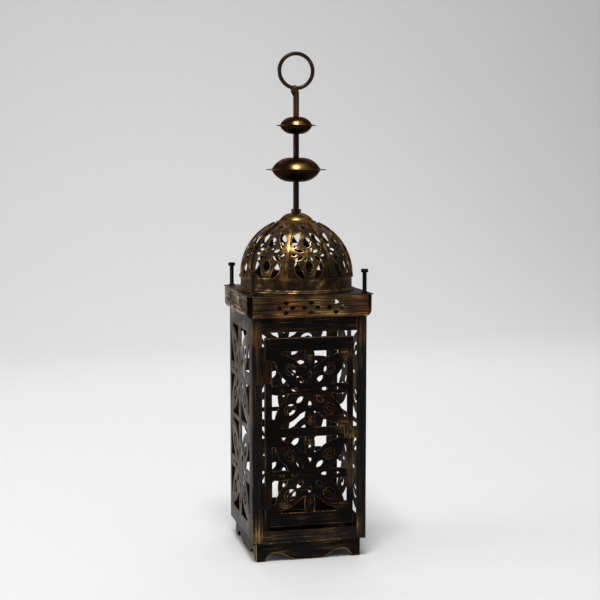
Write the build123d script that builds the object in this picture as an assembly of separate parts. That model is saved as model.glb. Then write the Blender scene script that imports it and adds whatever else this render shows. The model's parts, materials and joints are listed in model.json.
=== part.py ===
from build123d import *

import os
from math import cos, radians, sin, sqrt

# A square lantern of pierced sheet metal with a hinged door, a ribbed dome and a beaded spire.
# Millimetres. The origin is the centre of the base on the ground, the door faces -Y, +Z is up.

# Driving dimensions
BODY_W = 120.0             # square body, outside
BODY_TOP = 252.4           # top edge of the walls
SHEET = 1.0                # thickness of walls, plates and dome
PLINTH_W = 110.8           # square plinth, outside
PLINTH_H = 19.75
POST_W = 10.5              # front leg of the angle posts beside the door
POST_LEG = 13.0            # their other leg, along the side wall
HEADER_H = 14.4            # front strip above the door
SILL_H = 11.95             # front strip below the door
DOOR_W = 92.0
DOOR_BOTTOM = 37.5
DOOR_T = 1.5
DOOR_TOP_RAIL = 13.7
DOOR_MID_RAIL = 9.6
DOOR_BOTTOM_RAIL = 13.7
DOOR_CELL = 78.7           # square pierced cell of the door
DOOR_RETURN = 8.0          # depth of the stiffening strips behind the door's edges
PANEL_CELL = 97.6          # square pierced cell of the other three walls
PANEL_MID_BAND = 5.0
PANEL_TOP_BAND = 15.4
PANEL_SHIFT = 4.3          # the side walls' cells sit this far behind their middle
GALLERY_H = 22.6
GALLERY_BULGE = 5.5        # the cornice stands out this far
GALLERY_CURVE_H = 6.5      # height of its quarter-round foot
DECK_HOLE_R = 50.0
DRUM_H = 15.6
DOME_R = 58.6              # outer radius of the hemisphere
GORES = 8
ROD_R = 3.1
ROD_TOP = 481.5
RING_Z = 503.1
RING_R = 17.75             # centre line of the ring's wire
RING_WIRE_R = 2.05

# Clearances
SEAT = 0.03                # pieces riveted or brazed together
RUN = 0.05                 # pins and spindles that turn
AIR = 0.4                  # sheets that move past each other

# Derived levels
WALL_BOTTOM = PLINTH_H + SHEET
WALL_H = BODY_TOP - WALL_BOTTOM
DECK_Z = BODY_TOP + GALLERY_H
DRUM_Z = DECK_Z + SHEET
DOME_Z = DRUM_Z + DRUM_H
FRONT_Y = -BODY_W / 2
DOOR_TOP = DOOR_BOTTOM + DOOR_BOTTOM_RAIL + 2 * DOOR_CELL + DOOR_MID_RAIL + DOOR_TOP_RAIL
MID_RAIL_Z = DOOR_BOTTOM + DOOR_BOTTOM_RAIL + DOOR_CELL + DOOR_MID_RAIL / 2
SIDE_TURN = {"front": 0, "right": 90, "back": 180, "left": -90}


def save(name, shape):
    """Writes one named piece, or one group of identical pieces."""
    shape.label = name
    export_step(shape, f"parts/{name}.step")


def on_side(shape, side):
    """Turns a piece drawn for the front, which faces -Y, to another side."""
    return Rot(0, 0, SIDE_TURN[side]) * shape


def upright(sketch, front_y, thickness):
    """A standing sheet: the sketch holds x and height, and front_y is the outer face."""
    return extrude(Plane.XZ.offset(-front_y - thickness) * sketch, amount=thickness)


def block(x, y, z):
    """A box between two limits along each axis."""
    size = [high - low for low, high in (x, y, z)]
    return Pos(x[0], y[0], z[0]) * Box(*size, align=(Align.MIN, Align.MIN, Align.MIN))


def disc(radius, low, high):
    """An upright cylinder between two levels."""
    return Pos(0, 0, low) * Cylinder(radius, high - low, align=(Align.CENTER, Align.CENTER, Align.MIN))


def turned(*edges):
    """A solid of revolution about Z from the closed outline of its right half."""
    return revolve(Plane.XZ * make_face(edges), axis=Axis.Z)


def lens(length, width):
    """A pointed oval along X, centred on the origin."""
    left, right = (-length / 2, 0), (length / 2, 0)
    return make_face([
        ThreePointArc(left, (0, width / 2), right),
        ThreePointArc(right, (0, -width / 2), left),
    ])


def diamond(width, height):
    """An upright rhombus centred on the origin."""
    return Polygon((width / 2, 0), (0, height / 2), (-width / 2, 0), (0, -height / 2))


# Pierced rosette cell

ROSETTE_HALF = 39.0        # half side of the cell that the figures below are drawn for


def leaf_gap():
    """The opening between the upper stalk and the leaf to its right."""
    rail_by_stalk, rail_by_neck = (4.3, ROSETTE_HALF), (29.3, ROSETTE_HALF)
    neck, leaf_side, tip = (29.6, 36.4), (9.7, 24.9), (4.4, 22.4)
    return make_face([
        Line(rail_by_stalk, rail_by_neck),
        Line(rail_by_neck, neck),
        ThreePointArc(neck, (17.2, 31.5), leaf_side),
        Line(leaf_side, tip),
        ThreePointArc(tip, (5.5, 30), rail_by_stalk),
    ])


def leaf_eye():
    """The ring-shaped slot in a leaf, round a small tongue that stays joined on the hub's side."""
    slot = Ellipse(6.2, 5.2) - Pos(0.6, 0) * lens(8.0, 4.6)
    return slot - Pos(-4.2, 0) * Rectangle(4.4, 2.2)


def rosette(cell_side):
    """All holes of one square cell, centred on the origin: four leaves, four stalks and a hub."""
    quarter = [leaf_gap(), mirror(leaf_gap(), about=Plane.YZ)]
    quarter.append(Pos(0, 28.6) * diamond(3.0, 5.0))
    quarter.append(Pos(0, 15.4) * Rot(0, 0, 90) * lens(6.8, 3.4))
    quarter.append(Rot(0, 0, 45) * Pos(14.6, 0) * lens(9.4, 4.6))
    quarter.append(Rot(0, 0, 45) * Pos(28.8, 0) * leaf_eye())
    holes = Sketch() + [Rot(0, 0, 90 * turn) * hole for turn in range(4) for hole in quarter]
    return scale(holes, by=cell_side / 2 / ROSETTE_HALF)


def strip(x, z):
    """A plain rectangle between two limits in x and two in height."""
    return Pos((x[0] + x[1]) / 2, (z[0] + z[1]) / 2) * Rectangle(x[1] - x[0], z[1] - z[0])


# Body

def wall_panel(side):
    """One pierced wall. The side walls run from the posts' legs to the back panel."""
    half = BODY_W / 2
    if side == "back":
        ends, middle = (-half, half), 0.0
    else:
        forward = 1 if side == "left" else -1
        ends = sorted((forward * (half - POST_LEG), forward * (SHEET - half)))
        middle = -forward * PANEL_SHIFT
    cell_pitch = PANEL_CELL + PANEL_MID_BAND
    upper_z = BODY_TOP - PANEL_TOP_BAND - PANEL_CELL / 2
    sheet = strip(ends, (WALL_BOTTOM, BODY_TOP))
    for z in (upper_z, upper_z - cell_pitch):
        sheet -= Pos(middle, z) * rosette(PANEL_CELL)
    return on_side(upright(sheet, FRONT_Y, SHEET), side)


def front_strip(x, z):
    """A plain strip of the front frame."""
    return upright(strip(x, z), FRONT_Y, SHEET)


def corner_post(side):
    """An angle at a front corner: one leg beside the door, the other along the side wall."""
    outward = -1 if side == "left" else 1
    half, height = BODY_W / 2, (WALL_BOTTOM, BODY_TOP)
    front_leg = front_strip(sorted((outward * (half - POST_W), outward * half)), height)
    side_x = sorted((outward * (half - SHEET), outward * half))
    return front_leg + block(side_x, (FRONT_Y + SHEET, FRONT_Y + POST_LEG), height)


def build_body():
    for side in ("left", "right", "back"):
        save(f"{side}_panel", wall_panel(side))
    for side in ("left", "right"):
        save(f"front_post_{side}", corner_post(side))
    inner = BODY_W / 2 - POST_W
    save("front_header", front_strip((-inner, inner), (BODY_TOP - HEADER_H, BODY_TOP)))
    save("front_sill", front_strip((-inner, inner), (WALL_BOTTOM, WALL_BOTTOM + SILL_H)))
    half = BODY_W / 2
    save("floor_plate", block((-half, half), (-half, half), (PLINTH_H, WALL_BOTTOM)))
    save("candle_cup", candle_cup())


def candle_cup():
    """A shallow pressed dish that stands on the floor plate and holds the candle."""
    cup_r, depth, lip = 31.0, 9.0, 1.6
    low, high = WALL_BOTTOM, WALL_BOTTOM + depth
    outline = Polyline(
        (0, low), (cup_r, low), (cup_r, high - SHEET), (cup_r + lip, high - SHEET), (cup_r + lip, high),
        (cup_r - SHEET, high), (cup_r - SHEET, low + SHEET), (0, low + SHEET), close=True)
    return turned(*outline.edges())


# Plinth

APRON_T = 1.2
FOOT_W = 9.6
ARCH_H = 8.7


def apron(side):
    """One side of the plinth: feet at both ends, two ogee arches and a low middle pendant."""
    half = PLINTH_W / 2 if side in ("front", "back") else PLINTH_W / 2 - APRON_T
    foot = PLINTH_W / 2 - FOOT_W
    crown, pendant = (37.0, ARCH_H), (13.5, 0.5)
    flank = (27.0, ARCH_H - 1.7)
    arch = [
        Line((foot, 0), (pendant[0], 0)),
        Line((pendant[0], 0), pendant),
        ThreePointArc(pendant, (20.4, 3.2), flank),
        ThreePointArc(flank, (31.6, ARCH_H - 0.4), crown),
        ThreePointArc(crown, (43.0, ARCH_H - 2.8), (foot, 0)),
    ]
    pendant_slit = Polyline(
        (-pendant[0], 0), (pendant[0], 0), pendant, (0, 0.2), (-pendant[0], pendant[1]), close=True)
    sheet = strip((-half, half), (0, PLINTH_H)) - make_face(arch) - mirror(make_face(arch), about=Plane.YZ)
    sheet -= make_face(pendant_slit.edges())
    return on_side(upright(sheet, -PLINTH_W / 2, APRON_T), side)


# Cornice and roof

def gallery_plate(side):
    """One cornice plate: a quarter-round foot, then an upright face with pierced diamonds."""
    low, curve_top = BODY_TOP, BODY_TOP + GALLERY_CURVE_H
    wall, face = FRONT_Y, FRONT_Y - GALLERY_BULGE
    slant = cos(radians(45))

    def quarter_round(bulge, height, mid_y):
        middle = (mid_y - bulge * slant, curve_top - height * slant)
        return ThreePointArc((mid_y, low), middle, (mid_y - bulge, curve_top))

    outline = [
        quarter_round(GALLERY_BULGE, GALLERY_CURVE_H, wall),
        Line((face, curve_top), (face, DECK_Z)),
        Line((face, DECK_Z), (face + SHEET, DECK_Z)),
        Line((face + SHEET, DECK_Z), (face + SHEET, curve_top)),
        quarter_round(GALLERY_BULGE, GALLERY_CURVE_H, wall + SHEET),
        Line((wall + SHEET, low), (wall, low)),
    ]
    half = BODY_W / 2 if side in ("front", "back") else BODY_W / 2 - SHEET
    plate = extrude(Plane.YZ * make_face(outline), amount=half, both=True)
    holes = Sketch() + [
        Pos(26.0 * column + dx, BODY_TOP + 5.7 + dz) * diamond(7.2, 5.4)
        for column in (-1, 0, 1)
        for dx, dz in ((0, 0), (-6.8, 5.0), (6.8, 5.0), (0, 10.0))
    ]
    plate -= extrude(Plane.XZ.offset(BODY_W / 2 - 5) * holes, amount=20)
    return on_side(plate, side)


def build_roof():
    for side in SIDE_TURN:
        save(f"gallery_{side}", gallery_plate(side))
    half = BODY_W / 2 + GALLERY_BULGE
    deck = block((-half, half), (-half, half), (DECK_Z, DRUM_Z))
    save("roof_deck", deck - disc(DECK_HOLE_R, DECK_Z - 1, DRUM_Z + 1))

    post_z, shank_r, foot_r, cap_r, cap_h = 297.2, 2.2, 3.4, 3.75, 3.5
    post = disc(foot_r, DRUM_Z, DRUM_Z + 1.4) + disc(shank_r, DRUM_Z + 1.4, post_z)
    cap = disc(cap_r, post_z, post_z + cap_h)
    cap = fillet(cap.edges().group_by(Axis.Z)[-1], 0.9)
    corner = BODY_W / 2 - 2
    corners = [Pos(x, y, 0) for x in (-corner, corner) for y in (-corner, corner)]
    save("pinnacle_posts", Compound([place * post for place in corners]))
    save("pinnacle_caps", Compound([place * cap for place in corners]))

    inner, top = DOME_R - SHEET, DOME_Z
    drum = Polyline(
        (inner, DRUM_Z), (DOME_R + 2.6, DRUM_Z), (DOME_R + 2.6, DRUM_Z + 1.2), (DOME_R, DRUM_Z + 3.2),
        (DOME_R, top - 2.8), (DOME_R + 1.5, top - 1.8), (DOME_R + 1.5, top), (inner, top), close=True)
    save("dome_drum", turned(*drum.edges()))


# Dome

HUB_LIFT = 25.0            # height angle of a gore's rosette above the dome's equator
GORE_TOP = 82.0            # height angle where the gores end, under the cap
RIB_TOP = 67.0             # height angle where the ribs end, beside the cap's rim
RIB_W = 3.2
RIB_H = 1.35


def meridian_band(inner, outer, top_angle):
    """A flat ring sector in the XZ plane, from the dome's equator up to top_angle."""
    def at(radius, angle):
        return (radius * cos(radians(angle)), DOME_Z + radius * sin(radians(angle)))

    return Plane.XZ * make_face([
        ThreePointArc(at(outer, 0), at(outer, top_angle / 2), at(outer, top_angle)),
        Line(at(outer, top_angle), at(inner, top_angle)),
        ThreePointArc(at(inner, top_angle), at(inner, top_angle / 2), at(inner, 0)),
        Line(at(inner, 0), at(outer, 0)),
    ])


def side_slot():
    """The curved slot between a gore's upper petal and its right border."""
    top, bottom = (4.4, 25.4), (13.2, 7.2)
    return make_face([
        ThreePointArc(top, (13.9, 18.1), bottom),
        ThreePointArc(bottom, (8.1, 15.2), top),
    ])


def gore_holes():
    """The flower pierced in one gore, seen square on, with its hub at the origin."""
    eye = Pos(0, 13.0) * Rot(0, 0, 90) * lens(12.2, 8.0)
    half = [eye, side_slot(), mirror(side_slot(), about=Plane.YZ)]
    for turn in (24, 156):
        half.append(Rot(0, 0, turn) * Pos(10.4, 0) * lens(9.6, 3.8))
    for turn in (60, 120):
        half.append(Rot(0, 0, turn) * Pos(5.6, 0) * lens(5.2, 1.9))
    flower = half + [Rot(0, 0, 180) * hole for hole in half]
    flower += [Pos(x, 0) * lens(6.4, 3.6) for x in (-14.2, 14.2)]
    flower.append(Pos(0, 33.6) * diamond(7.0, 7.2))
    return Sketch() + flower


def build_dome():
    wedge = 360 / GORES
    shell = revolve(meridian_band(DOME_R - SHEET, DOME_R, GORE_TOP), axis=Axis.Z, revolution_arc=wedge)
    shell = Rot(0, 0, -90 - wedge / 2) * shell
    look = Vector(0, -cos(radians(HUB_LIFT)), sin(radians(HUB_LIFT)))
    middle = Vector(0, 0, DOME_Z) + look * (DOME_R / 2)
    cutter = extrude(Plane(origin=middle, x_dir=(1, 0, 0), z_dir=look) * gore_holes(), amount=DOME_R)
    shell -= cutter
    rib = extrude(meridian_band(DOME_R + RUN, DOME_R + RIB_H, RIB_TOP), amount=RIB_W / 2, both=True)
    rib = Rot(0, 0, -90 + wedge / 2) * rib
    for number in range(GORES):
        turn = Rot(0, 0, wedge * number)
        save(f"dome_gore_{number + 1}", turn * shell)
        save(f"dome_rib_{number + 1}", turn * rib)


# Spire

CAP_RIM_R = 20.8
CAP_RIM_Z = DOME_Z + sqrt(DOME_R ** 2 - CAP_RIM_R ** 2) + 0.15
CAP_TOP = 355.9
NUT_R = 5.35
NUT_H = 4.2


def dome_cap():
    """A domed disc with a thin flared rim, resting on the crown of the dome."""
    z, t, hole = CAP_RIM_Z, 0.9, ROD_R + SEAT
    top_in = (hole, CAP_TOP - t)
    return turned(
        Line((CAP_RIM_R, z), (CAP_RIM_R, z + 0.7)),
        ThreePointArc((CAP_RIM_R, z + 0.7), (18.6, z + 1.5), (17.0, z + 2.6)),
        ThreePointArc((17.0, z + 2.6), (12.8, z + 6.7), (NUT_R + 0.6, CAP_TOP)),
        Line((NUT_R + 0.6, CAP_TOP), (hole, CAP_TOP)),
        Line((hole, CAP_TOP), top_in),
        Line(top_in, (NUT_R, CAP_TOP - t)),
        ThreePointArc((NUT_R, CAP_TOP - t), (12.2, z + 5.9), (16.4, z + 1.7)),
        ThreePointArc((16.4, z + 1.7), (18.6, z + 0.82), (CAP_RIM_R, z)),
    )


def bead_half(body_r, rim_r, half_height, z, up):
    """One pressed half shell of a bead, with its flat rim. up is +1 for the upper half, -1 for the lower."""
    t, hole = 0.8, ROD_R + SEAT

    def at(radius, height):
        return (radius, z + up * height)

    shoulder_r, shoulder_h = 0.68 * body_r, 0.76 * half_height
    return turned(
        Line(at(hole, half_height), at(hole, half_height - t)),
        ThreePointArc(at(hole, half_height - t), at(shoulder_r - t / 2, shoulder_h - t), at(body_r - t, 0)),
        Line(at(body_r - t, 0), at(rim_r, 0)),
        Line(at(rim_r, 0), at(rim_r, t / 2)),
        Line(at(rim_r, t / 2), at(body_r, t)),
        ThreePointArc(at(body_r, t), at(shoulder_r, shoulder_h), at(hole, half_height)),
    )


def build_spire():
    rod_foot = 341.0
    save("spire_rod", disc(ROD_R, rod_foot, ROD_TOP))
    save("dome_cap", dome_cap())
    bore = disc(ROD_R + SEAT, 330, 370)
    nut = Pos(0, 0, CAP_TOP) * extrude(RegularPolygon(NUT_R, 6), amount=NUT_H)
    save("collar_nut", chamfer(nut.edges().group_by(Axis.Z)[-1], 0.5) - bore)
    washer_z, washer_t = 345.9, 1.5
    save("crown_washer", disc(12.0, washer_z, washer_z + washer_t) - bore)
    crown_nut = Pos(0, 0, washer_z - NUT_H) * extrude(RegularPolygon(NUT_R, 6), amount=NUT_H)
    save("crown_nut", crown_nut - bore)

    beads = {
        "large_bead": {"body_r": 25.4, "rim_r": 31.4, "half_height": 12.5, "z": 401.1},
        "small_bead": {"body_r": 16.7, "rim_r": 20.5, "half_height": 8.9, "z": 446.9},
    }
    for name, bead in beads.items():
        save(f"{name}_lower", bead_half(**bead, up=-1))
        save(f"{name}_upper", bead_half(**bead, up=1))

    ring_turn = Pos(0, 0, RING_Z) * Rot(90, 0, 0)
    save("hanging_ring", ring_turn * Torus(RING_R, RING_WIRE_R))
    save("ring_braze", braze() - ring_turn * Torus(RING_R, RING_WIRE_R + SEAT))


def braze():
    """A lump of brazing metal that spreads from the rod's end to the ring, more to the left."""
    lump_r, lump_x, lump_z = 4.9, -1.5, RING_Z - RING_R - 1.4
    taper_h = 7.0
    lump = Pos(lump_x, 0, lump_z) * Sphere(lump_r)
    lump += Pos(lump_x, 0, lump_z - 1.0 - taper_h / 2) * Cone(3.3, 4.6, taper_h)
    return lump - disc(ROD_R + SEAT, lump_z - 20, ROD_TOP + SEAT)


# Door, hinges and latch

HINGE_X = -47.75
HINGE_Y = FRONT_Y - 0.9
HINGE_LEVELS = {"upper": 198.2, "lower": 68.8}
HINGE_H = 24.0
KNUCKLE_R = 1.4
PIN_R = 0.7
LEAF_T = 0.8
LATCH_X = 42.9
LATCH_Z = MID_RAIL_Z - 1.7
LATCH_TONGUE_L = 12.0
SPINDLE_R = 1.5
PLATE_T = 1.2
PLATE_HALF_H = 6.0
TONGUE_T = 1.0


def door_panel():
    """The pierced door sheet, with a hole for the latch spindle."""
    sheet = strip((-DOOR_W / 2, DOOR_W / 2), (DOOR_BOTTOM, DOOR_TOP))
    lower_z = DOOR_BOTTOM + DOOR_BOTTOM_RAIL + DOOR_CELL / 2
    for z in (lower_z, lower_z + DOOR_CELL + DOOR_MID_RAIL):
        sheet -= Pos(0, z) * rosette(DOOR_CELL)
    sheet -= Pos(LATCH_X, LATCH_Z) * Circle(SPINDLE_R + RUN)
    return upright(sheet, FRONT_Y, DOOR_T)


def door_returns():
    """Strips that stiffen the door behind its hinge edge, its top and its bottom."""
    half, depth = DOOR_W / 2, (FRONT_Y + DOOR_T, FRONT_Y + DOOR_RETURN)
    inner = -half + SHEET
    return Compound([
        block((-half, inner), depth, (DOOR_BOTTOM, DOOR_TOP)),
        block((inner, half), depth, (DOOR_TOP - SHEET, DOOR_TOP)),
        block((inner, half), depth, (DOOR_BOTTOM, DOOR_BOTTOM + SHEET)),
    ])


def knuckle(low, high):
    """One rolled knuckle of a hinge, between two levels."""
    return Pos(HINGE_X, HINGE_Y, 0) * disc(KNUCKLE_R, low, high)


def build_hinge(level, z):
    low, high = z - HINGE_H / 2, z + HINGE_H / 2
    third, gap = HINGE_H / 3, 0.3
    pin_hole = Pos(HINGE_X, HINGE_Y, 0) * disc(PIN_R + RUN, low - 2, high + 2)

    leaf_y = FRONT_Y + SHEET
    web = (HINGE_X - 1.15, HINGE_X - 0.35)
    fixed = block((HINGE_X - 9.2, web[1]), (leaf_y, leaf_y + LEAF_T), (low, high))
    for knuckle_low, knuckle_high in ((low, low + third - gap), (high - third + gap, high)):
        fixed += block(web, (HINGE_Y, leaf_y + LEAF_T), (knuckle_low, knuckle_high))
        fixed += knuckle(knuckle_low, knuckle_high)
    save(f"hinge_post_leaf_{level}", fixed - pin_hole)

    moving = knuckle(low + third, high - third)
    moving += block((HINGE_X, -40.3), (FRONT_Y - LEAF_T, FRONT_Y), (low + third, high - third))
    moving += block((-45.8, -40.3), (FRONT_Y - LEAF_T, FRONT_Y), (low, high))
    save(f"hinge_door_leaf_{level}", moving - pin_hole)

    head_r, head_h = 1.3, 0.7
    pin = disc(PIN_R, low, high + RUN) + disc(head_r, high + RUN, high + RUN + head_h)
    save(f"hinge_pin_{level}", Pos(HINGE_X, HINGE_Y, 0) * pin)


def build_latch():
    """A folded plate on a spindle through the door, and a tongue behind that turns with it."""
    plate_front = FRONT_Y - AIR - PLATE_T
    height = (LATCH_Z - PLATE_HALF_H, LATCH_Z + PLATE_HALF_H)
    plate = upright(strip((LATCH_X - 6.9, LATCH_X + 7.7), height), plate_front, PLATE_T)
    for offset, fold_r in ((-6.2, 0.6), (-2.6, 0.6), (3.3, 0.8), (6.7, 0.8)):
        plate += Pos(LATCH_X + offset, plate_front, 0) * disc(fold_r, *height)
    hole = spindle_shank(SPINDLE_R + SEAT, plate_front - 5, FRONT_Y + 10)
    save("latch_plate", plate - hole)

    tongue_front = FRONT_Y + DOOR_T + AIR
    tongue = strip((LATCH_X - 2.5, LATCH_X + 2.5), (LATCH_Z - LATCH_TONGUE_L, LATCH_Z + 3.2))
    save("latch_tongue", upright(tongue, tongue_front, TONGUE_T) - hole)

    head_r, head_h = 1.95, 0.9
    tongue_back = tongue_front + TONGUE_T
    spindle = spindle_shank(SPINDLE_R, plate_front - head_h, tongue_back + head_h)
    spindle += spindle_shank(head_r, plate_front - head_h, plate_front)
    spindle += spindle_shank(head_r, tongue_back, tongue_back + head_h)
    save("latch_spindle", spindle)


def spindle_shank(radius, front_y, back_y):
    """A round bar along Y on the latch's axis."""
    return upright(Pos(LATCH_X, LATCH_Z) * Circle(radius), front_y, back_y - front_y)


os.makedirs("parts", exist_ok=True)
build_body()
for apron_side in SIDE_TURN:
    save(f"plinth_{apron_side}", apron(apron_side))
build_roof()
build_dome()
build_spire()
save("door_panel", door_panel())
save("door_returns", door_returns())
for hinge_level, hinge_z in HINGE_LEVELS.items():
    build_hinge(hinge_level, hinge_z)
build_latch()
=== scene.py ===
"""A pierced metal candle lantern: its worn finishes with some painted highlights, reflections and shade,
its rounded edges, its light and its camera.
"""

import json
from math import cos, pi, radians, sin

import bmesh
import bpy
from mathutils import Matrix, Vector, noise

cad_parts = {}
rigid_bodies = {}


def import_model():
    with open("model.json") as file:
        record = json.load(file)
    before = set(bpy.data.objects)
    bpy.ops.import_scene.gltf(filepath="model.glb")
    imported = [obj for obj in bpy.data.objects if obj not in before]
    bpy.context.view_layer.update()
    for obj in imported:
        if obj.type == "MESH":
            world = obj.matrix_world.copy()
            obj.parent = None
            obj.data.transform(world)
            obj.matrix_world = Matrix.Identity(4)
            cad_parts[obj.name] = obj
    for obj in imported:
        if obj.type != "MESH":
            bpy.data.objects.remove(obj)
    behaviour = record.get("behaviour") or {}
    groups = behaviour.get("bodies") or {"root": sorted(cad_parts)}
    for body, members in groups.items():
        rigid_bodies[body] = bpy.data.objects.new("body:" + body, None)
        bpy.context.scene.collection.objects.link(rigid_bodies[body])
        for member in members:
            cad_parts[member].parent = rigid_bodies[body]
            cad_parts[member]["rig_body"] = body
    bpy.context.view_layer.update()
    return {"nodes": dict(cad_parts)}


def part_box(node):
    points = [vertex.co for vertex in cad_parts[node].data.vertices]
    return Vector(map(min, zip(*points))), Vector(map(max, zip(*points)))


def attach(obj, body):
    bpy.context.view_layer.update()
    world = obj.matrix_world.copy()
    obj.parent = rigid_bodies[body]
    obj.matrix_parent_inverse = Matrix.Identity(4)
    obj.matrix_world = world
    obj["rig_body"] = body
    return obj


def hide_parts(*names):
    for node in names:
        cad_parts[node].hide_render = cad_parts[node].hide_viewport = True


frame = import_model()

MM = 0.001
scene = bpy.context.scene

# A dark coat was brushed over bronze and rubbed back, so each finish runs through five tones. They
# are reached at these degrees of rubbing, from the whole coat to bright metal. Painted highlights,
# reflections and shade move some surfaces along the same tones.
TONE_PLACES = (0.30, 0.46, 0.60, 0.76, 0.94)
COAT = ((0.0026, 0.0022, 0.0020), (0.0075, 0.0056, 0.0046), (0.030, 0.0175, 0.0085),
        (0.105, 0.060, 0.024), (0.46, 0.29, 0.115))
GREY_COAT = ((0.0075, 0.0068, 0.0062), (0.013, 0.0115, 0.0100), (0.032, 0.025, 0.018),
             (0.085, 0.058, 0.032), (0.36, 0.25, 0.12))
RED_COAT = ((0.0060, 0.0032, 0.0028), (0.016, 0.0070, 0.0052), (0.045, 0.018, 0.0100),
            (0.110, 0.048, 0.024), (0.32, 0.17, 0.085))
DOME_BRONZE = ((0.012, 0.0075, 0.0045), (0.034, 0.019, 0.0090), (0.095, 0.055, 0.022),
               (0.22, 0.135, 0.050), (0.58, 0.38, 0.150))
SPUN_BRONZE = ((0.012, 0.0068, 0.0032), (0.036, 0.0195, 0.0078), (0.098, 0.054, 0.0190),
               (0.26, 0.155, 0.054), (0.58, 0.39, 0.160))

# The tint of the reflections where the surface turns away.
SPUN_RIM = (0.45, 0.36, 0.28)
DOME_RIM = (0.72, 0.56, 0.38)

# How many features there are in a metre along each axis, for the strokes of the brush and the rest.
BRUSHED = {"x": (32, 780, 780), "y": (780, 32, 780), "z": (780, 780, 32), "even": (130, 130, 130)}
CLOUDS, SPECKS, PATCHES, FIBRES = (30, 30, 30), (1300, 1300, 1300), (17, 17, 17), (60, 60, 60)

BASE_WEAR = 0.37            # the degree of rubbing of the coat as a whole
SPECK_WEAR = 0.22           # how much the specks add to it or take from it
BARE_SPAN = 0.2             # from the first metal to bare metal
EDGE_WIDTH = 0.8 * MM       # how far the wear reaches in from an edge
TURN_WIDTH = 0.6 * MM       # over which the strokes change from lying to upright
SMEAR = 0.3                 # how much the roughness swings
STROKE_DEPTH = 0.12 * MM
STROKE_SHARE, SPECK_SHARE = 0.7, 0.3
COPPER_TINT = (1.30, 0.84, 0.86)
PLAIN, COPPERY = 0.48, 0.62  # between these values of its noise, a patch of copper sets in

WELD = 0.001 * MM           # points nearer than this are one point
FLAT = radians(0.4)         # faces that meet at less than this are one face
CUT_EDGE = radians(32)      # an edge that turns by more than this is rounded
CREASE = radians(30)        # and by more than this, it is shaded as a sharp one


# ---------------------------------------------------------------- camera and stage

def aim(obj, target):
    obj.rotation_mode = "QUATERNION"
    obj.rotation_quaternion = (Vector(target) - obj.location).to_track_quat("-Z", "Y")


def make_camera():
    """A long lens level with the spire, a little to the left of the door, looking slightly down."""
    place, azimuth, pitch = (-0.3218, -1.3420, 0.410), radians(13.654), radians(6.034)
    focal_length, film_width = 78.84, 36
    data = bpy.data.cameras.new("camera")
    data.lens = focal_length
    data.sensor_width = film_width
    camera = bpy.data.objects.new("camera", data)
    camera.location = place
    look = Vector((sin(azimuth) * cos(pitch), cos(azimuth) * cos(pitch), -sin(pitch)))
    scene.collection.objects.link(camera)
    aim(camera, camera.location + look)
    scene.camera = camera


def make_light(name, place, target, size, watts, colour=(1, 1, 1)):
    data = bpy.data.lights.new(name, "AREA")
    data.shape = "RECTANGLE"
    data.size, data.size_y = size
    data.energy = watts
    data.color = colour
    light = bpy.data.objects.new(name, data)
    light.location = place
    light.visible_camera = False
    scene.collection.objects.link(light)
    aim(light, target)


def make_lights():
    """A soft light high in front, a narrow one for the glints, one on the paper, one from the left."""
    make_light("key", place=(-0.22, -0.70, 2.05), target=(0, 0, 0.25), size=(0.62, 0.62), watts=21)
    make_light("glint", place=(-0.22, -0.72, 2.00), target=(0, 0, 0.35), size=(0.50, 0.15), watts=9)
    make_light("backdrop_wash", place=(0.4, 1.2, 1.35), target=(0.4, 1.3, 0.0), size=(1.8, 0.5), watts=9)
    make_light("left_fill", place=(-1.9, 0.2, 0.8), target=(0, 0, 0.2), size=(1.4, 1.2), watts=14,
               colour=(1.0, 0.97, 0.92))
    white, glow = (1.0, 1.0, 1.0, 1), 0.31
    world = bpy.data.worlds.new("studio")
    world.use_nodes = True
    background = world.node_tree.nodes["Background"]
    background.inputs["Color"].default_value = white
    background.inputs["Strength"].default_value = glow
    scene.world = world


def make_stage():
    """A sheet of pale paper that runs along the floor and curves up behind the lantern."""
    half_width, front, turn, radius, top, steps = 4.5, -4.0, 1.5, 1.1, 3.6, 24
    profile = [(front, 0.0), (turn, 0.0)]
    for k in range(1, steps + 1):
        angle = pi / 2 * k / steps
        profile.append((turn + radius * sin(angle), radius * (1 - cos(angle))))
    profile.append((turn + radius, top))
    mesh = bpy.data.meshes.new("paper")
    bm = bmesh.new()
    rows = [[bm.verts.new((x, y, z)) for x in (-half_width, half_width)] for y, z in profile]
    for (a, b), (c, d) in zip(rows, rows[1:]):
        bm.faces.new((a, b, d, c)).smooth = True
    bm.to_mesh(mesh)
    bm.free()
    paper = bpy.data.objects.new("paper", mesh)
    scene.collection.objects.link(paper)
    mesh.materials.append(paper_material())


# ---------------------------------------------------------------- materials

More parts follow.
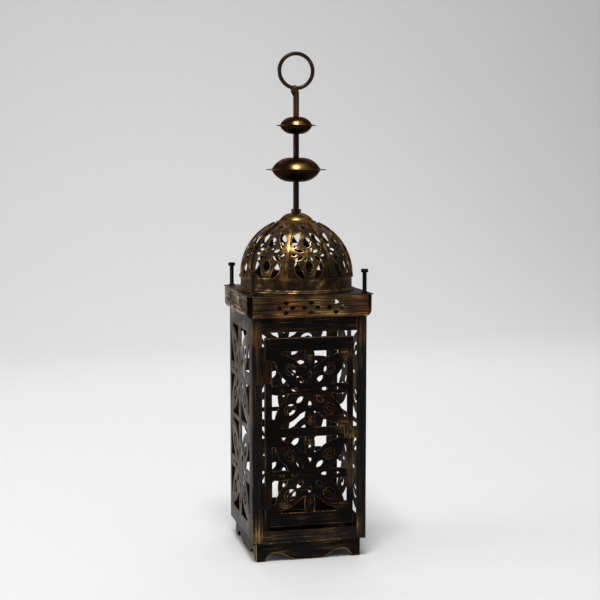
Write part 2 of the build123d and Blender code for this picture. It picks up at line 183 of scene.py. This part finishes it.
class Shading:
    """One material's node tree, with a short call for each kind of node used here."""

    def __init__(self, name):
        self.material = bpy.data.materials.new(name)
        self.material.use_nodes = True
        self.tree = self.material.node_tree
        self.shader = self.tree.nodes["Principled BSDF"]
        self.place = self.add("ShaderNodeTexCoord").outputs["Object"]

    def add(self, kind, settings=None, **inputs):
        node = self.tree.nodes.new(kind)
        for key, value in (settings or {}).items():
            setattr(node, key, value)
        for key, value in inputs.items():
            self.put(node.inputs[key.replace("_", " ")], value)
        return node

    def put(self, socket, value):
        if isinstance(value, bpy.types.NodeSocket):
            self.tree.links.new(value, socket)
        else:
            socket.default_value = value

    def math(self, operation, a, b=0.0, clamp=False):
        node = self.add("ShaderNodeMath", {"operation": operation, "use_clamp": clamp})
        self.put(node.inputs[0], a)
        self.put(node.inputs[1], b)
        return node.outputs[0]

    def vector(self, operation, a, b=(0, 0, 0), output="Vector"):
        node = self.add("ShaderNodeVectorMath", {"operation": operation})
        self.put(node.inputs[0], a)
        self.put(node.inputs[1], b)
        return node.outputs[output]

    def noise(self, per_metre, detail=3.0, roughness=0.55, shift=0.0):
        """Noise with this many features in a metre along each axis. A shift sets it apart from others."""
        place = self.vector("MULTIPLY", self.place, per_metre)
        place = self.vector("ADD", place, (shift, shift * 1.7, shift * 0.6))
        node = self.add("ShaderNodeTexNoise", Vector=place, Scale=1.0, Detail=detail, Roughness=roughness)
        return node.outputs[0]

    def ramp(self, value, low, high, start=0.0, end=1.0):
        """Runs smoothly from start to end while the value runs from low to high."""
        node = self.add("ShaderNodeMapRange", {"interpolation_type": "SMOOTHSTEP"}, Value=value)
        for name, number in (("From Min", low), ("From Max", high), ("To Min", start), ("To Max", end)):
            node.inputs[name].default_value = number
        return node.outputs[0]

    def blend(self, factor, a, b):
        node = self.add("ShaderNodeMix", {"data_type": "RGBA"})
        self.put(node.inputs["Factor"], factor)
        self.put(node.inputs["A"], a if isinstance(a, bpy.types.NodeSocket) else (*a, 1))
        self.put(node.inputs["B"], b if isinstance(b, bpy.types.NodeSocket) else (*b, 1))
        return node.outputs["Result"]

    def lerp(self, factor, a, b):
        node = self.add("ShaderNodeMix", {"data_type": "FLOAT"})
        self.put(node.inputs["Factor"], factor)
        self.put(node.inputs["A"], a)
        self.put(node.inputs["B"], b)
        return node.outputs["Result"]

    def tones(self, rubbed_and_lit, colours):
        """The tone of a finish at each degree of rubbing, painted light and shade included."""
        node = self.add("ShaderNodeValToRGB", Fac=rubbed_and_lit)
        stops = node.color_ramp.elements
        while len(stops) < len(colours):
            stops.new(0.5)
        for stop, place, colour in zip(stops, TONE_PLACES, colours):
            stop.position = place
            stop.color = (*colour, 1)
        return node.outputs["Color"]

    def centred(self, value, amount):
        """The value's swing about one half, times the amount."""
        return self.math("MULTIPLY", self.math("SUBTRACT", value, 0.5), amount)

    def near_edge(self, width):
        """1 along the sharp edges, falling to 0 over the width."""
        on_the_flat, on_the_edge = 0.998, 0.90
        soft = self.add("ShaderNodeBevel", {"samples": 6}, Radius=width).outputs[0]
        hard = self.add("ShaderNodeNewGeometry").outputs["Normal"]
        likeness = self.vector("DOT_PRODUCT", soft, hard, output="Value")
        return self.ramp(likeness, on_the_flat, on_the_edge)

    def near(self, centre, reach):
        """1 round the centre, falling to 0 at the reach given along each axis."""
        rim, core = 1.0, 0.15
        away = self.vector("SUBTRACT", self.place, tuple(centre))
        share = self.vector("MULTIPLY", away, tuple(1 / r for r in reach))
        return self.ramp(self.vector("LENGTH", share, output="Value"), rim, core)


def brush_strokes(s, grain, upright_beyond):
    """Strokes along the grain, and upright ones beyond a distance from the middle plane."""
    strokes = s.noise(BRUSHED[grain], detail=4, roughness=0.6)
    if upright_beyond is None:
        return strokes
    across = s.math("ABSOLUTE", s.add("ShaderNodeSeparateXYZ", Vector=s.place).outputs["X"])
    turned = s.ramp(across, upright_beyond, upright_beyond + TURN_WIDTH)
    return s.lerp(turned, strokes, s.noise(BRUSHED["z"], detail=4, roughness=0.6))


def degree_of_rubbing_and_light(s, strokes, specks, wear_and_light, streaks, clouds, edge_wear, zones):
    """The sum of the wear everywhere, the strokes, clouds and specks, the edges and the zones. Painted
    highlights, reflections and shade come in through the wear and the zones.
    """
    cloud = s.noise(CLOUDS, detail=3, shift=7.0)
    rubbed_and_lit = s.math("ADD", s.centred(strokes, streaks), BASE_WEAR + wear_and_light)
    rubbed_and_lit = s.math("ADD", rubbed_and_lit, s.centred(cloud, clouds))
    rubbed_and_lit = s.math("ADD", rubbed_and_lit, s.centred(specks, SPECK_WEAR))
    if edge_wear:
        rubbed_and_lit = s.math("ADD", rubbed_and_lit, s.math("MULTIPLY", s.near_edge(EDGE_WIDTH), edge_wear))
    for centre, reach, strength in zones:
        rubbed_and_lit = s.math("ADD", rubbed_and_lit, s.math("MULTIPLY", s.near(centre, reach), strength))
    return rubbed_and_lit


def antiqued(name, grain, tones=COAT, wear_and_light=0.0, streaks=1.5, clouds=0.9, edge_wear=0.26, zones=(),
             upright_beyond=None, gloss=0.06, rough=(0.52, 0.36), metal=(0.0, 0.9), metal_from=0.60,
             copper=0.60, rim=(1, 1, 1), bump=0.25):
    """A dark coat over bronze, brushed along the grain and rubbed back along the edges and in the
    zones. Rough and metal hold two values each, for the coat and for bare metal. Metal begins to
    show at metal_from, and copper tints it in patches. Some zones and some values of wear paint
    highlights, reflections and shade instead of rubbing."""
    s = Shading(name)
    strokes = brush_strokes(s, grain, upright_beyond)
    specks = s.noise(SPECKS, detail=2, shift=3.0)
    rubbed_and_lit = degree_of_rubbing_and_light(s, strokes, specks, wear_and_light, streaks, clouds, edge_wear, zones)
    bare = s.ramp(rubbed_and_lit, metal_from, metal_from + BARE_SPAN)

    colour = s.tones(rubbed_and_lit, tones)
    if copper:
        patch = s.ramp(s.noise(PATCHES, detail=2, shift=19.0), PLAIN, COPPERY, end=copper)
        colour = s.blend(patch, colour, s.vector("MULTIPLY", colour, COPPER_TINT))
    s.put(s.shader.inputs["Base Color"], colour)
    s.put(s.shader.inputs["Metallic"], s.lerp(bare, *metal))
    smears = s.noise(BRUSHED[grain], detail=2, roughness=0.5, shift=31.0)
    roughness = s.math("ADD", s.lerp(bare, *rough), s.centred(smears, SMEAR), clamp=True)
    s.put(s.shader.inputs["Roughness"], roughness)
    s.shader.inputs["Specular IOR Level"].default_value = gloss
    s.shader.inputs["Specular Tint"].default_value = (*rim, 1)
    stroke_height = s.math("MULTIPLY", strokes, STROKE_SHARE)
    height = s.math("ADD", stroke_height, s.math("MULTIPLY", specks, SPECK_SHARE))
    relief = s.add("ShaderNodeBump", Strength=bump, Distance=STROKE_DEPTH, Height=height)
    s.put(s.shader.inputs["Normal"], relief.outputs[0])
    return s.material


def paper_material():
    s = Shading("pale_paper")
    between, along = (0.775, 0.775, 0.78), (0.805, 0.805, 0.81)
    fibre = s.noise(FIBRES, detail=4)
    s.put(s.shader.inputs["Base Color"], s.blend(fibre, between, along))
    s.put(s.shader.inputs["Roughness"], s.lerp(fibre, 0.72, 0.80))
    s.shader.inputs["Specular IOR Level"].default_value = 0.15
    return s.material


# ---------------------------------------------------------------- pieces

def body_of(node):
    return frame["nodes"][node]["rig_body"]


def stand_in(piece, node):
    """Puts a piece in a node's place, on the node's body, and hides the node."""
    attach(piece, body_of(node))
    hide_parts(node)


def softened(node, width, material, edge_material=None, segments=2):
    """Stands a copy in a sheet-metal node's place, with its cut edges rounded over the width, as
    filing and handling leave them."""
    mesh = frame["nodes"][node].data.copy()
    if "custom_normal" in mesh.attributes:
        mesh.attributes.remove(mesh.attributes["custom_normal"])
    bm = bmesh.new()
    bm.from_mesh(mesh)
    bmesh.ops.remove_doubles(bm, verts=bm.verts, dist=WELD)
    bmesh.ops.dissolve_limit(bm, angle_limit=FLAT, verts=bm.verts, edges=bm.edges)
    bm.to_mesh(mesh)
    bm.free()
    mesh.materials.clear()
    mesh.materials.append(material)
    mesh.materials.append(edge_material or material)
    piece = bpy.data.objects.new(node + "_worn", mesh)
    scene.collection.objects.link(piece)
    bevel = piece.modifiers.new("rounded", "BEVEL")
    bevel.width = width
    bevel.segments = segments
    bevel.limit_method = "ANGLE"
    bevel.angle_limit = CUT_EDGE
    bevel.use_clamp_overlap = False
    bevel.material = 1
    bpy.context.view_layer.update()
    finished = bpy.data.meshes.new_from_object(piece.evaluated_get(bpy.context.evaluated_depsgraph_get()))
    finished.shade_smooth()
    finished.set_sharp_from_angle(angle=CREASE)
    piece.modifiers.clear()
    piece.data = finished
    stand_in(piece, node)


def paint(node, material):
    """Gives a node whose shape needs no change its detailed material."""
    for slot in frame["nodes"][node].material_slots:
        slot.material = material


def wear_and_light_zone(node, at, reach, strength):
    """A lighter zone: rubbed wear on some pieces, a painted highlight or painted reflection on others. It
    is centred at these shares of a node's box, and its reach is in millimetres.
    """
    low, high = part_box(node)
    centre = Vector(l + (h - l) * share for l, h, share in zip(low, high, at))
    return centre, [r * MM for r in reach], strength


def build_posts(edge):
    left, right = "front_post_left", "front_post_right"
    zones = [wear_and_light_zone(post, at=(0.5, 0.1, 0.93), reach=(9, 9, 35), strength=0.23) for post in (left, right)]
    left_foot = wear_and_light_zone(left, at=(0.5, 0.1, 0.03), reach=(9, 9, 30), strength=0.44)
    right_foot = wear_and_light_zone(right, at=(0.5, 0.1, 0.06), reach=(8, 9, 26), strength=0.28)
    # A painted reflection: the left-facing leg of the left post is made lighter along its whole height.
    left_leg_painted_reflection = wear_and_light_zone(left, at=(0.0, 0.6, 0.50), reach=(3, 13, 500), strength=0.12)
    behind_latch = wear_and_light_zone(right, at=(0.0, 0.1, 0.50), reach=(5, 5, 15), strength=0.20)
    beside_sill = wear_and_light_zone(right, at=(0.1, 0.1, 0.10), reach=(3, 5, 34), strength=0.30)
    zones += [left_foot, right_foot, left_leg_painted_reflection, behind_latch, beside_sill]
    upright = antiqued("post_coat", "z", wear_and_light=-0.02, gloss=0.10, zones=zones)
    for node in (left, right):
        softened(node, 0.33 * MM, upright, edge)


def build_plinth():
    outline = antiqued("plinth_edge", "x", wear_and_light=0.56, streaks=1.0, edge_wear=0)
    coat = antiqued("plinth_coat", "x", wear_and_light=-0.01, gloss=0.08)
    side_coat = antiqued("plinth_side_coat", "y", tones=GREY_COAT, gloss=0.16)
    for side in ("front", "back"):
        softened("plinth_" + side, 0.42 * MM, coat, outline)
    for side in ("left", "right"):
        softened("plinth_" + side, 0.42 * MM, side_coat, outline)


def build_walls():
    wall = antiqued("wall_coat", "z", tones=GREY_COAT, wear_and_light=0.15, streaks=0.55, clouds=1.3,
                    edge_wear=0.22, gloss=0.30)
    edge = antiqued("wall_edge", "z", wear_and_light=0.10, edge_wear=0)
    for side in ("left", "right", "back"):
        softened(side + "_panel", 0.22 * MM, wall, edge)


def build_body():
    edge = antiqued("rubbed_edge", "z", wear_and_light=0.27, edge_wear=0)
    build_posts(edge)
    softened("front_header", 0.28 * MM, antiqued("header_coat", "x", wear_and_light=-0.01), edge)
    softened("front_sill", 0.30 * MM, antiqued("sill_coat", "x", wear_and_light=0.09, gloss=0.12), edge)
    build_plinth()
    build_walls()
    softened("floor_plate", 0.2 * MM, antiqued("floor_coat", "even", wear_and_light=0.10, clouds=1.3), edge)
    softened("roof_deck", 0.2 * MM, antiqued("deck_coat", "even", clouds=1.3), edge)
    softened("candle_cup", 0.2 * MM, antiqued("cup_coat", "even", wear_and_light=0.03), edge)


def door_zones(door):
    petals = [wear_and_light_zone(door, at=(0.50, 0, height), reach=(6, 6, 11), strength=0.34)
              for height in (0.89, 0.56, 0.44)]
    leaf_tips = [wear_and_light_zone(door, at=(side, 0, height), reach=(11, 6, 8), strength=0.28)
                 for side, height in ((0.91, 0.905), (0.90, 0.10), (0.20, 0.11))]
    round_latch = wear_and_light_zone(door, at=(0.90, 0, 0.52), reach=(16, 6, 18), strength=0.40)
    pulled_edge = wear_and_light_zone(door, at=(0.96, 0, 0.30), reach=(6, 6, 48), strength=0.36)
    hinge_edge = wear_and_light_zone(door, at=(0.03, 0, 0.84), reach=(6, 6, 20), strength=0.16)
    bottom_rail = wear_and_light_zone(door, at=(0.50, 0, 0.03), reach=(60, 6, 13), strength=0.13)
    return [*petals, *leaf_tips, round_latch, pulled_edge, hinge_edge, bottom_rail]


def build_door():
    door, inside_stiles = "door_panel", 40 * MM
    coat = antiqued("door_coat", "x", wear_and_light=-0.08, gloss=0.04, upright_beyond=inside_stiles,
                    zones=door_zones(door))
    edge = antiqued("door_edge", "z", wear_and_light=0.35, edge_wear=0, copper=1.0)
    softened(door, 0.36 * MM, coat, edge)
    # The returns are made lighter than the door, as a painted reflection for the strip of the top return
    # that shows under the header.
    softened("door_returns", 0.2 * MM, antiqued("return_coat_painted_reflection", "x", wear_and_light=0.22, gloss=0.3))


def build_hinges():
    # A painted highlight: a lighter upright strip on the lower post leaf, where the hinge barrel catches
    # the light.
    barrel_painted_highlight = wear_and_light_zone("hinge_post_leaf_lower", at=(0.4, 0.1, 0.5), reach=(4, 5, 20), strength=0.40)
    brown = antiqued("hinge_brown", "z", tones=RED_COAT, wear_and_light=0.02, zones=[barrel_painted_highlight])
    for node in frame["nodes"]:
        if node.startswith("hinge_") and "leaf" in node:
            softened(node, 0.12 * MM, brown)
        elif node.startswith("hinge_pin"):
            paint(node, brown)


def build_latch():
    gilt = antiqued("latch_gilt", "z", wear_and_light=0.20)
    for node in ("latch_plate", "latch_tongue"):
        softened(node, 0.12 * MM, gilt)
    paint("latch_spindle", gilt)


def build_roof():
    edge = antiqued("gallery_edge", "x", wear_and_light=0.30, edge_wear=0)
    for side, grain in (("front", "x"), ("back", "x"), ("left", "y"), ("right", "y")):
        node = "gallery_" + side
        low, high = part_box(node)
        width, depth = ((high - low) / MM)[:2]
        # A painted reflection: the lower lip of each plate, where its rounded edge catches the bright
        # floor, is made lighter.
        lip_painted_reflection = wear_and_light_zone(node, at=(0.5, 0.5, 0.12), reach=(width, depth, 7), strength=0.16)
        coat = antiqued("gallery_coat_" + side, grain, wear_and_light=0.29, streaks=1.2, zones=[lip_painted_reflection])
        softened(node, 0.25 * MM, coat, edge)
    post = antiqued("pinnacle_coat", "z", wear_and_light=0.02)
    for node in ("pinnacle_posts", "pinnacle_caps"):
        softened(node, 0.3 * MM, post)


def build_dome():
    sheet = {"tones": DOME_BRONZE, "clouds": 1.2, "metal_from": 0.45, "rim": DOME_RIM}
    # A painted highlight: the ribs and the edges of the holes on the front of the dome, toward the lamps,
    # are made lighter.
    front = wear_and_light_zone("dome_gore_1", at=(0.3, 0.0, 0.4), reach=(42, 34, 44), strength=0.06)
    bronze = antiqued("dome_bronze", "even", wear_and_light=-0.03, streaks=1.6, edge_wear=0.34, gloss=0.3,
                      metal=(0.4, 0.95), rough=(0.52, 0.46), **sheet)
    edge = antiqued("dome_edge", "even", wear_and_light=0.38, edge_wear=0, metal=(0.6, 0.95), zones=[front], **sheet)
    rib = antiqued("rib_bronze", "even", wear_and_light=0.15, edge_wear=0.16, metal=(0.8, 0.95), rough=(0.44, 0.38),
                   zones=[front], **sheet)
    for gore in [node for node in frame["nodes"] if node.startswith("dome_gore")]:
        softened(gore, 0.28 * MM, bronze, edge)
        softened(gore.replace("gore", "rib"), 0.40 * MM, rib, segments=3)
    softened("dome_drum", 0.2 * MM, bronze, edge)


def braze_lump():
    """The uneven lump of brazing metal between the rod's end and the ring."""
    node = "ring_braze"
    low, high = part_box(node)
    middle, reach = (low + high) / 2, (high - low) / 2
    girth, taper, lean, depth, height = 0.80, 0.14, 0.03, 0.8, 0.95
    bm = bmesh.new()
    bmesh.ops.create_icosphere(bm, subdivisions=4, radius=1.0)
    for vertex in bm.verts:
        x, y, z = vertex.co
        coarse = 0.10 * noise.noise(vertex.co * 2.1)
        fine = 0.05 * noise.noise(vertex.co * 5.3)
        spread = (girth + taper * z) * (1 + coarse + fine)
        vertex.co = middle + Vector((reach.x * (x * spread - lean * z), reach.y * depth * y * spread,
                                     reach.z * z * height))
    for face in bm.faces:
        face.smooth = True
    mesh = bpy.data.meshes.new("braze")
    bm.to_mesh(mesh)
    bm.free()
    mesh.materials.append(antiqued("braze_metal", "even", tones=SPUN_BRONZE, wear_and_light=0.10, clouds=1.4,
                                   metal=(0.6, 0.95), edge_wear=0, bump=0.6))
    piece = bpy.data.objects.new("braze_lump", mesh)
    scene.collection.objects.link(piece)
    stand_in(piece, node)


def build_spun():
    """The cap and the beads, spun or pressed from thin sheet and satin all over. Highlights are painted on
    the front of the cap and of the bead tops, and the undersides of the beads are darkened as painted
    shade.
    """
    satin = {"tones": SPUN_BRONZE, "streaks": 0.3, "clouds": 0.5, "edge_wear": 0.12, "metal": (0.9, 0.97),
             "gloss": 0.3, "copper": 0.0, "rim": SPUN_RIM, "bump": 0.08}
    # A painted highlight on the front of the cap, where the lamps glint.
    painted_cap_highlight = wear_and_light_zone("dome_cap", at=(0.46, 0.15, 0.5), reach=(18, 15, 8), strength=0.24)
    paint("dome_cap", antiqued("spun_cap", "even", wear_and_light=0.17, rough=(0.34, 0.29), zones=[painted_cap_highlight], **satin))
    # Painted highlights on the front of the bead tops, just above the flange, where the lamps glint.
    painted_bead_highlights = [wear_and_light_zone("large_bead_upper", at=(0.48, 0.05, 0.25), reach=(20, 16, 7.5), strength=0.40),
              wear_and_light_zone("small_bead_upper", at=(0.48, 0.05, 0.25), reach=(12, 10, 6.5), strength=0.40)]
    top = antiqued("spun_top_lit", "even", wear_and_light=0.07, rough=(0.28, 0.22), zones=painted_bead_highlights, **satin)
    # Painted shade: the undersides of the beads are made darker than their tops.
    painted_shade_under = antiqued("spun_under_painted_shade", "even", wear_and_light=-0.12, rough=(0.34, 0.28), **satin)
    for bead in ("large_bead", "small_bead"):
        paint(bead + "_upper", top)
        paint(bead + "_lower", painted_shade_under)


def build_spire():
    rod = "spire_rod"
    # A painted highlight: the front-left side of the rod above the small bead, toward the lamps, is made
    # lighter.
    lit_side_painted_highlight = wear_and_light_zone(rod, at=(0.3, 0.2, 0.88), reach=(6, 6, 24), strength=0.26)
    dark = antiqued("rod_bronze", "z", tones=SPUN_BRONZE, wear_and_light=-0.04, streaks=1.2, gloss=0.3,
                    metal=(0.6, 0.95), rough=(0.40, 0.34), zones=[lit_side_painted_highlight])
    for node in (rod, "collar_nut", "crown_washer", "crown_nut"):
        paint(node, dark)
    build_spun()
    wire = antiqued("wire_bronze", "even", tones=SPUN_BRONZE, wear_and_light=-0.02, gloss=0.4, metal=(0.5, 0.95),
                    rough=(0.36, 0.30))
    paint("hanging_ring", wire)
    braze_lump()


make_camera()
make_stage()
make_lights()
scene.view_settings.view_transform = "Standard"

build_body()
build_door()
build_hinges()
build_latch()
build_roof()
build_dome()
build_spire()
